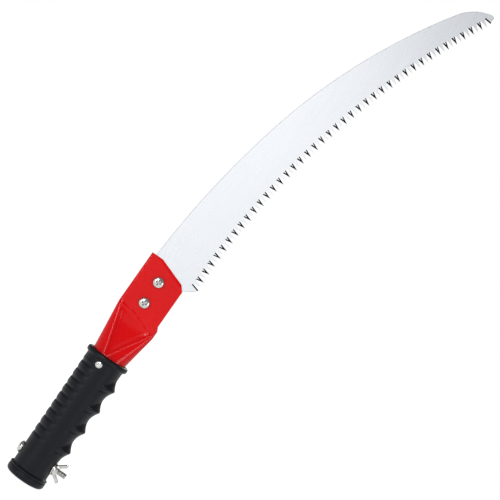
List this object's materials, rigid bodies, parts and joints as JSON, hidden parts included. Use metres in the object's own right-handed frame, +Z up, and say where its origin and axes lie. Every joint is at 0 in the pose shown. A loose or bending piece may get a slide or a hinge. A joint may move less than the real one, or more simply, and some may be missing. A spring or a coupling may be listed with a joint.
{
  "type": "pole saw head",
  "caption": "Curved pruning saw blade screwed into a flattened steel tube whose rubber-sleeved round end is a pole socket with a wing-nut clamp bolt.",
  "frame": {"origin": "centre of the pole socket's mouth, in the plane of the grip's end", "axes": "+Z up the socket's axis to the blade; +X to the side the teeth and the wing nut are on; the screw heads face -Y"},
  "size_m": [0.1167, 0.0378, 0.5204],
  "materials": {
    "polished_steel": "hard-chromed and polished, with fine grinding lines",
    "red_paint": "gloss red powder coat",
    "black_rubber": "satin moulded rubber",
    "rivet_aluminium": "bright as-drawn",
    "zinc_steel": "bright zinc plate"
  },
  "bodies": {
    "saw_head": {"socket_tube": "red_paint", "blade": "polished_steel", "grip_sleeve": "black_rubber", "grip_rivet": "rivet_aluminium", "blade_screw_upper": "zinc_steel", "blade_screw_lower": "zinc_steel", "blade_lock_washer_upper": "zinc_steel", "blade_lock_washer_lower": "zinc_steel", "blade_nut_upper": "zinc_steel", "blade_nut_lower": "zinc_steel"},
    "clamp_bolt": {"clamp_bolt": "zinc_steel"},
    "clamp_washer": {"clamp_washer": "zinc_steel"},
    "wing_nut": {"wing_nut": "zinc_steel"}
  },
  "joints": [
    {"name": "clamp_bolt_pull", "type": "slide", "parent": "saw_head", "child": "clamp_bolt", "axis": [-1, 0, 0], "range_m": [0, 0.0402]},
    {"name": "clamp_washer_slide", "type": "slide", "parent": "saw_head", "child": "clamp_washer", "axis": [1, 0, 0], "range_m": [0, 0.008]},
    {"name": "wing_nut_turn", "type": "hinge", "parent": "clamp_washer", "child": "wing_nut", "pos_m": [0.0156, 0, 0.0202], "axis": [1, 0, 0], "range_deg": [0, 3600]}
  ],
  "couplings": [
    {"joint": "clamp_washer_slide", "follows": "wing_nut_turn", "m_per_rad": 0.00012732}
  ]
}
